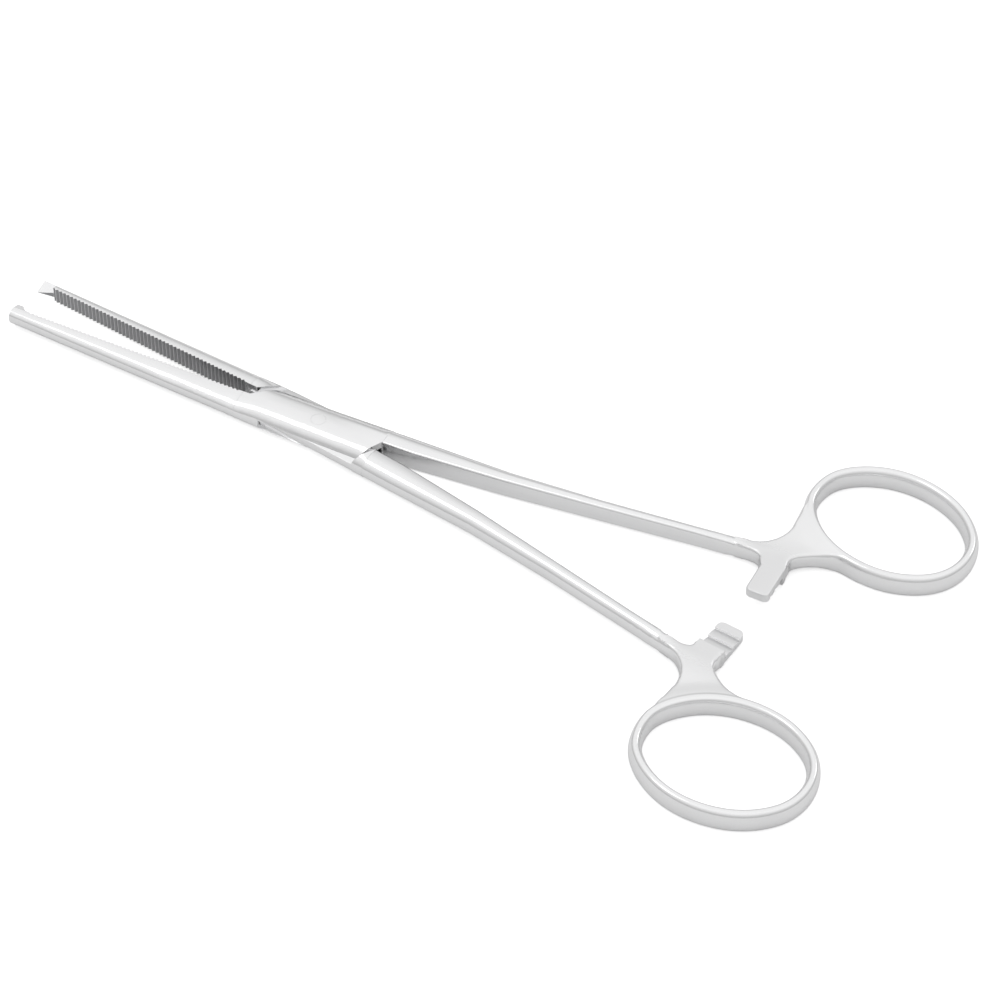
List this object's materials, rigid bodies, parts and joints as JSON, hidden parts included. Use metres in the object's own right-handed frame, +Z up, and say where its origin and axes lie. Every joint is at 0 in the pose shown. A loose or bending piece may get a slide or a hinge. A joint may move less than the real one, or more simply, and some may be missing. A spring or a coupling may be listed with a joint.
{
  "type": "hemostat forceps",
  "caption": "Straight locking forceps with serrated jaws, interlocking tip teeth, a box lock, ratchet arms and two finger rings.",
  "frame": {"origin": "where the pivot axis meets the underside plane the forceps lies on", "axes": "+X from the pivot towards the finger rings along the line midway between the halves, +Z up along the pivot axis, +Y towards the ring of the box half"},
  "size_m": [0.1975, 0.0954, 0.005],
  "materials": {
    "steel": "satin"
  },
  "bodies": {
    "box_body": {"box_half": "steel", "pivot_pin": "steel"},
    "tongue_body": {"tongue_half": "steel"}
  },
  "joints": [
    {"name": "box_lock", "type": "hinge", "parent": "box_body", "child": "tongue_body", "pos_m": [0, 0, 0.0025], "axis": [0, 0, 1], "range_deg": [-38, 6.9]}
  ]
}
